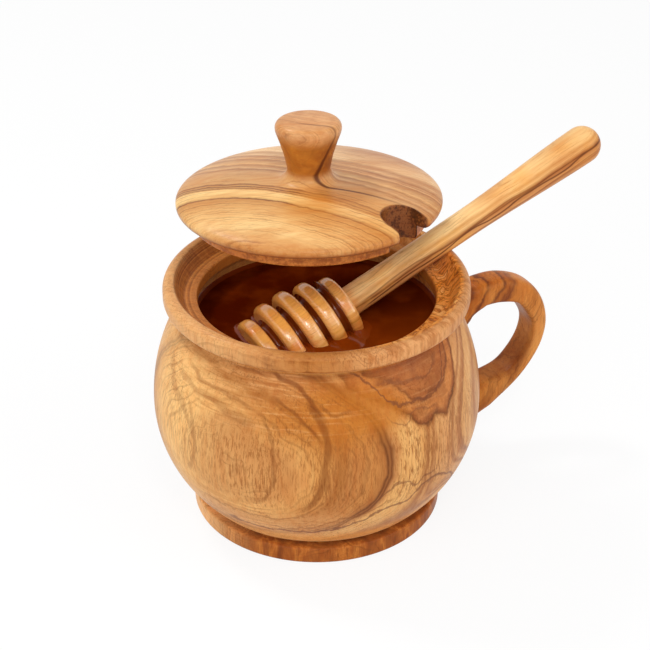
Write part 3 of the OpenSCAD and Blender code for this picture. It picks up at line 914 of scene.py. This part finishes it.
def lid_figure(g, p):
    """Layers that run from the left to the front right, one dark vein down the knob, a cut notch."""
    moved = warp(g, p, 0.03, 4.0, (5, 2, 7))
    x, y, _ = g.split(moved)
    height = g.split(p)[2]
    lean = g.curve(x, -45, 45, -25, 25, LID_LEAN)
    wobble = g.minus(g.noise(p, 0.2, 3, 0.6), 0.5)
    layers = g.times_plus(wobble, 2.2, g.plus(y, lean))
    colour = g.ramp(layers, -55, 55, LID_LAYERS)
    soft = g.grain(p, (0.35, 1, 1), 0.12, 3, 0.6, 0.6)
    colour = g.mix(g.step(soft, 0.42, 0.62, 0, 0.35), colour, (206, 142, 76))
    colour = patched(g, p, colour, LID_HONEYED, 0.7, (206, 130, 50))
    colour = patched(g, p, colour, LID_SHADE, 0.7, (206, 178, 158), "MULTIPLY")

    knob = g.step(height, 8, 12)
    top = g.step(height, 20, 25.5)
    cloud = g.noise(p, 0.16, 3, 0.6)
    cone = g.ramp(cloud, 0.3, 0.7, CONE)
    side = g.step(g.dot(p, (-0.8, -0.5, 0)), -4, 8, 0, 0.55)
    cone = g.mix(side, cone, (199, 124, 36))
    crown = g.mix(g.step(cloud, 0.35, 0.65), (216, 160, 106), (200, 140, 86))
    fine = g.step(g.noise_along(layers, 3, 0.6), 0.5, 0.7)
    crown = g.mix(g.times(fine, 0.4), crown, (168, 108, 58))
    colour = g.mix(g.times(knob, 0.9), colour, g.mix(top, cone, crown))
    vein = g.math("ABSOLUTE", g.plus(g.dot(moved, (0.288, 0.946, -0.149)), 7.2))
    near = g.times(g.step(g.split(p)[0], -7, 1), g.step(g.vector("LENGTH", p), 46, 14))
    line = g.times(g.minus(1, g.step(vein, 0.15, 0.8)), near)
    colour = g.mix(g.times(line, 0.9), colour, (86, 38, 16))

    # Painted shade, partly the edge's own darker tone, on the lid's lower front edge
    front = g.step(g.dot(p, (0.3, -0.95, 0)), 6, 34)
    speck = g.step(g.noise(p, 0.6, 3, 0.6), 0.4, 0.62, 0.75, 1)
    low = g.times(g.step(height, -0.5, 4.2, 0.85, 0), g.times(front, speck))
    colour = g.mix(low, colour, (184, 112, 48))
    # Painted shade, partly the edge's own darker tone, in a dark band round the lid's lower edge
    colour = g.mix(g.step(height, -1.9, 0.3, 0.95, 0), colour, (128, 58, 14))
    # Painted shade on the lid's underside and spigot
    under = g.step(height, -2.2, -1.9, 0.9, 0)
    grit = g.noise(p, 0.5, 4, 0.7)
    colour = g.mix(under, colour, g.mix(g.step(grit, 0.4, 0.65), (202, 122, 54), (156, 84, 32)))
    return cut_notch(g, p, colour), layers


def cut_notch(g, p, colour):
    """Rough end grain on the notch's wall."""
    az = math.radians(NOTCH_AZ)
    out = g.dot(p, (math.cos(az), math.sin(az), 0))
    across = g.dot(p, (-math.sin(az), math.cos(az), 0))
    back = g.math("MAXIMUM", g.minus(NOTCH_C, out), 0)
    wall = g.math("SQRT", g.plus(square(g, back), square(g, across)))
    wall = g.minus(wall, NOTCH_W / 2)
    grit = g.noise(p, 1.1, 3, 0.7)
    broad = g.noise(p, 0.22, 2, 0.5)
    tone = g.ramp(g.plus(g.times(grit, 0.5), g.times(broad, 0.5)), 0.35, 0.65, NOTCH_WALL)
    return g.mix(g.step(wall, 0.1, 0.75, 0.96, 0), colour, tone)


CONE = [(0.3, 182, 109, 27), (0.45, 147, 77, 15), (0.55, 130, 62, 10), (0.7, 166, 96, 27)]
NOTCH_WALL = [(0.35, 52, 22, 8), (0.47, 84, 40, 16), (0.54, 134, 76, 36), (0.65, 80, 38, 16)]
LID_HONEYED = [(4, -17, 6, 8, 0.7), (16, -14, 6, 7, 0.4), (22, -31, 4, 7, 0.5), (6, -36, 3, 8, 0.35)]
LID_SHADE = [(24, 24, 5, 16, 0.75), (36, 6, 4, 12, 0.4)]
# How far the layers lean across the lid, from left to right
LID_LEAN = [(-45, -13), (-30, -10.3), (-15, -6.6), (0, 0), (20, 9.6), (45, 21.5)]
LID_LAYERS = [
    (-55, 205, 155, 97), (-43, 218, 169, 109), (-39, 234, 195, 133), (-33, 228, 183, 119),
    (-27, 211, 159, 95), (-22.9, 195, 139, 76), (-22.2, 116, 71, 39), (-21.4, 228, 183, 113),
    (-16.4, 242, 204, 136), (-15.4, 209, 157, 90), (-14.9, 126, 79, 44), (-14.3, 207, 155, 90),
    (-13.3, 120, 73, 41), (-12.7, 203, 149, 86), (-11.3, 138, 90, 51), (-10.6, 207, 155, 95),
    (-5, 207, 157, 100), (0.5, 205, 157, 107), (2, 165, 115, 74), (3.2, 218, 173, 123), (6, 172, 123, 80),
    (7.2, 232, 186, 127), (11.8, 170, 121, 79), (13.4, 223, 176, 125), (16, 170, 121, 81),
    (18, 232, 188, 135), (21, 195, 145, 96), (24, 250, 210, 154), (32, 242, 200, 146),
    (38, 217, 169, 117), (55, 250, 212, 154),
]


def dipper_figure(g, p):
    """Straight pale layers, and a dark vein that runs along the stick below its middle."""
    moved = warp(g, p, 0.04, 1.2, (1, 4, 2))
    z = g.split(p)[2]
    layers = g.times_plus(z, 0.012, g.dot(moved, (0.990, -0.139, 0)))
    wobble = g.minus(g.grain(p, (1, 1, 0.3), 0.25, 3), 0.5)
    layers = g.times_plus(wobble, 1, layers)
    colour = g.ramp(layers, -18, 18, STICK_LAYERS)
    golden = g.grain(p, (1, 1, 0.5), 0.12, 3, 0.6)
    # The head is partly the honey-wet golden tone and partly painted light, lifted against the lid's shade
    head = g.fall(z, -44, -36)
    share = g.times_plus(head, 0.35, g.step(golden, 0.45, 0.66, 0, 0.35))
    colour = g.mix(share, colour, (248, 178, 76))
    wet = g.step(golden, 0.34, 0.54, 0.7, 0.1)
    colour = g.mix(g.times(head, wet), colour, (242, 138, 34))
    colour = patched(g, p, colour, STICK_PATCHES, 0.6, (204, 128, 56))
    # Painted shade: the stick darkens toward its upper end, where the lamps light it more
    colour = g.mix(g.step(z, 4, 50), colour, (234, 222, 212), "MULTIPLY")
    return veins(g, z, layers, colour, STICK_VEINS), g.times(layers, 2.2)


STICK_PATCHES = [(-4, 2, 22, 6, 0.7), (-6, 0, 52, 7, 0.25)]
STICK_VEINS = [
    (0.5, 0.85, (98, 54, 26), [(-38, 2.2), (-20, 1.0), (-6, 1.6), (8, 0.4), (20, 1.7), (34, 0.5),
     (48, 1.4), (60, 0.2), (72, 0.8)]),
    (0.4, 0.6, (128, 74, 34), [(-38, -0.6), (-18, -1.4), (0, 0.2), (20, -0.8), (44, 0.6)]),
    (0.4, 0.5, (136, 80, 38), [(4, 2.6), (24, 3.4), (46, 2.8), (72, 2.2)]),
]
STICK_LAYERS = [
    (-18, 224, 163, 93), (-10, 244, 193, 123), (-6, 253, 218, 155), (-3.4, 250, 208, 143),
    (-2.6, 221, 165, 100), (-1.6, 242, 195, 128), (-0.5, 182, 122, 70), (0, 113, 66, 38),
    (0.4, 190, 128, 76), (2.4, 221, 160, 97), (3.2, 186, 126, 72), (4.2, 213, 151, 87), (9, 205, 141, 76),
    (18, 190, 124, 63),
]


def handle_figure(g, p):
    """Layers that slope up and outward, with purple-brown streaks across the top."""
    moved = warp(g, p, 0.05, 8.0, (7, 1, 3))
    layers = g.dot(moved, (0.80, 0.12, -0.55))
    wobble = g.minus(g.noise(p, 0.2, 3, 0.65), 0.5)
    layers = g.times_plus(wobble, 4, layers)
    colour = g.ramp(layers, 0, 60, HANDLE_LAYERS)
    golden = g.grain(p, (1, 1, 0.4), 0.09, 3, 0.6)
    colour = g.mix(g.step(golden, 0.42, 0.64, 0, 0.6), colour, (212, 142, 70))
    sunny = bumps(g, p, [(BELLY_R + 29, 0, 46, 13, 0.7)])
    colour = g.mix(sunny, colour, (218, 152, 82))
    # Painted shade on the faces inside the loop
    loop = g.vector("DISTANCE", g.vector("MULTIPLY", p, (1, 0, 1)), (BELLY_R + 13, 0, 45))
    return g.mix(g.step(loop, 13.5, 17.5, 0.8, 0), colour, (98, 38, 12)), layers


HANDLE_LAYERS = [
    (0, 177, 101, 37), (7, 166, 93, 34), (9, 118, 60, 29), (10.4, 167, 93, 35), (13, 187, 111, 43),
    (14.4, 110, 56, 29), (15.6, 172, 97, 37), (18.4, 185, 109, 43), (19.6, 104, 53, 29),
    (21, 165, 91, 35), (23.6, 120, 61, 32), (25, 179, 103, 41), (31, 191, 116, 47), (34, 167, 97, 37),
    (37, 191, 119, 51), (40, 156, 89, 37), (42, 185, 111, 45), (45, 140, 77, 32), (47, 188, 116, 51),
    (51, 177, 105, 43), (60, 191, 120, 54),
]


def plain_figure(g, p):
    """Even pale layers, for the dowels."""
    layers = g.dot(p, (0.7, 0.7, 0.1))
    return g.ramp(layers, 0, 100, [(0, 222, 184, 136), (100, 206, 164, 116)]), layers


HONEY_IOR = 1.49


def honey_material(name, deep, lit, rough, shine):
    """Thick dark honey, with painted light toward the front right, where the wood shines through."""
    g = Graph(name)
    p = g.place(Matrix())
    cloud = g.noise(p, 0.08, 3)
    # Painted light: the honey is lighter toward the front right
    right = g.step(g.dot(p, (0.5, -0.86, 0)), 0, 42, 0, 0.8)
    share = g.plus(right, g.step(cloud, 0.4, 0.7, 0, 0.25))
    g.put(g.shader.inputs["Base Color"], g.mix(g.math("MINIMUM", share, 1), deep, lit))
    g.shader.inputs["Roughness"].default_value = rough
    g.shader.inputs["IOR"].default_value = HONEY_IOR
    g.shader.inputs["Specular IOR Level"].default_value = shine
    return g.material


# The object

lid_at = turned_to([("Y", -LID_ROLL), ("X", -LID_TILT)], (LID_SHIFT, 0, LEDGE_Z + UNDER_T + LID_RAISE))
rest = math.radians(REST_AZ)
dipper_at = turned_to([("Z", STICK_AZ), ("Y", 90 - STICK_TILT)],
                      (REST_R * math.cos(rest), REST_R * math.sin(rest), POT_H))
dipper_at = dipper_at @ Matrix.Translation(Vector((-STICK_R - REST_GAP, 0, 0)) * MM)
handle_at = turned_to([("Z", HANDLE_AZ)], (0, 0, 0))

ALONG_Z = (1.0, 1.0, 0.12)
ALONG_X = (0.12, 1.0, 1.0)
pot_wood = wood("olive_pot", Matrix(), pot_figure, ALONG_Z, (118, 66, 28), lines=0.3, pores=0.5,
                shine=0.07, seed=3.1)
lid_wood = wood("olive_lid", lid_at, lid_figure, ALONG_X, (124, 70, 30), lines=0.4, pores=0.22,
                gloss=0.26, shine=0.13, seed=11.7)
handle_wood = wood("olive_handle", handle_at, handle_figure, ALONG_Z, (92, 46, 24), lines=0.35,
                   shine=0.07, seed=6.3)
dipper_wood = wood("olive_dipper", dipper_at, dipper_figure, ALONG_Z, (160, 92, 36), lines=0.3,
                   pores=0.25, gloss=0.27, shine=0.1, seed=1.9)
wet_wood = wood("olive_dipper_wet", dipper_at, dipper_figure, ALONG_Z, (176, 104, 40), lines=0.3,
                pores=0.3, gloss=0.1, shine=0.75, seed=1.9)
dowel_wood = wood("dowel_beech", Matrix(), plain_figure, ALONG_X, (150, 106, 70), seed=8.8)
honey_deep = honey_material("honey_deep", (70, 15, 0), (150, 64, 8), 0.1, 0.0)
honey_edge = honey_material("honey_edge", (104, 34, 2), (150, 64, 8), 0.06, 0.18)
honey_thin = honey_material("honey_thin", (112, 44, 8), (150, 72, 18), 0.08, 0.4)

piece("turned_pot", *spin(pot_outline(), 256), pot_wood, "pot", "pot_body", "body_wood")
piece("sawn_handle", *handle_mesh(), handle_wood, "pot", "pot_handle", "handle_wood", handle_at)
piece("turned_lid", *lid_mesh(), lid_wood, "lid", "lid", "lid_wood", lid_at, merge=True)
dipper = piece("turned_dipper", *spin(dipper_outline(), 160), dipper_wood, "dipper", "honey_dipper",
               "dipper_wood", dipper_at)
dipper.data.materials.append(wet_wood)
into_dipper = dipper_at.inverted()
for face in dipper.data.polygons:
    face.material_index = int((into_dipper @ face.center).z < (DISC_T / 2 - HEAD_IN) * MM)
fill = piece("honey_fill", *honey_mesh(into_dipper, dipper_outline()), honey_deep, "pot", "honey", "honey")
fill.data.materials.append(honey_edge)
for face in fill.data.polygons:
    face.material_index = int(face.center.z > (HONEY_Z + 0.1) * MM)
piece("honey_film", *film_mesh(), honey_thin, "dipper", slot="honey", place=dipper_at)
for dowel in ("handle_dowel_upper", "handle_dowel_lower"):
    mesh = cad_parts[dowel].data
    mesh.materials.clear()
    mesh.materials.append(dowel_wood)


# Floor, light and camera

FLOOR_HALF = 3.0
FLOOR_SHADE = 0.88
FLOOR_GLOW = 0.86
WORLD_STRENGTH = 0.53
# Name, place, height that it is aimed at, side and power
LIGHTS = (
    ("key", (-0.45, 0.27, 0.80), 0.07, 0.17, 2.8),
    ("front", (0.10, -0.68, 0.83), 0.07, 0.21, 2.1),
    ("fill", (-0.40, -0.75, 0.65), 0.06, 0.7, 3.6),
    ("side", (0.75, -0.3, 0.5), 0.06, 0.6, 2.6),
)
CAMERA_AT = (0, -0.5598, 0.3990)
CAMERA_AIM = (0, 0, 0.0686)
SENSOR = 36
LENS = 105.3
SHIFT_X = 0.0128
WHITE_RAYS = ("Is Camera Ray", "Is Glossy Ray", "Is Transmission Ray")


def stage_material(name, shade, glow):
    """Pale stage that the camera, gloss and clear pieces see as nearly white."""
    material = bpy.data.materials.new(name)
    nodes, links = emptied(material)
    diffuse = nodes.new("ShaderNodeBsdfDiffuse")
    diffuse.inputs["Color"].default_value = (shade, shade, shade, 1)
    white = nodes.new("ShaderNodeEmission")
    share = nodes.new("ShaderNodeMath")
    share.operation = "MULTIPLY"
    links.new(any_ray(nodes, links, *WHITE_RAYS), share.inputs[0])
    share.inputs[1].default_value = glow
    mix = nodes.new("ShaderNodeMixShader")
    links.new(share.outputs[0], mix.inputs[0])
    links.new(diffuse.outputs[0], mix.inputs[1])
    links.new(white.outputs[0], mix.inputs[2])
    output = nodes.new("ShaderNodeOutputMaterial")
    links.new(mix.outputs[0], output.inputs["Surface"])
    return material


def floor_sheet():
    mesh = bpy.data.meshes.new("floor")
    corners = [(FLOOR_HALF * x, FLOOR_HALF * y, 0) for x, y in ((-1, -1), (1, -1), (1, 1), (-1, 1))]
    mesh.from_pydata(corners, [], [(0, 1, 2, 3)])
    obj = bpy.data.objects.new("floor", mesh)
    bpy.context.scene.collection.objects.link(obj)
    mesh.materials.append(stage_material("floor_white", FLOOR_SHADE, FLOOR_GLOW))


def any_ray(nodes, links, *kinds):
    """1 for a ray of one of these kinds, or else 0."""
    path = nodes.new("ShaderNodeLightPath")
    seen = path.outputs[kinds[0]]
    for kind in kinds[1:]:
        either = nodes.new("ShaderNodeMath")
        either.operation = "MAXIMUM"
        links.new(seen, either.inputs[0])
        links.new(path.outputs[kind], either.inputs[1])
        seen = either.outputs[0]
    return seen


def studio_world(strength):
    """Even light at that strength; the camera, gloss and clear pieces see white."""
    world = bpy.data.worlds.new("studio")
    bpy.context.scene.world = world
    nodes, links = emptied(world)
    level = nodes.new("ShaderNodeMapRange")
    links.new(any_ray(nodes, links, *WHITE_RAYS), level.inputs[0])
    level.inputs[3].default_value = strength
    level.inputs[4].default_value = 1.0
    background = nodes.new("ShaderNodeBackground")
    background.inputs["Color"].default_value = (1, 1, 1, 1)
    links.new(level.outputs[0], background.inputs["Strength"])
    output = nodes.new("ShaderNodeOutputWorld")
    links.new(background.outputs[0], output.inputs["Surface"])


def aimed(obj, at, aim):
    """Puts an object in the scene, looking from one point to another."""
    bpy.context.scene.collection.objects.link(obj)
    obj.location = at
    obj.rotation_euler = (Vector(aim) - Vector(at)).to_track_quat("-Z", "Y").to_euler()


def softbox(name, at, aim_z, side, power):
    light = bpy.data.lights.new(name, "AREA")
    light.shape = "RECTANGLE"
    light.size = light.size_y = side
    light.energy = power
    aimed(bpy.data.objects.new(name, light), at, (0, 0, aim_z))


def photo_camera():
    data = bpy.data.cameras.new("camera")
    data.sensor_fit = "HORIZONTAL"
    data.sensor_width = SENSOR
    data.lens = LENS
    data.shift_x = SHIFT_X
    data.clip_start = 0.05
    obj = bpy.data.objects.new("camera", data)
    aimed(obj, CAMERA_AT, CAMERA_AIM)
    bpy.context.scene.camera = obj


floor_sheet()
studio_world(WORLD_STRENGTH)
for light in LIGHTS:
    softbox(*light)
photo_camera()
bpy.context.scene.view_settings.view_transform = "Standard"
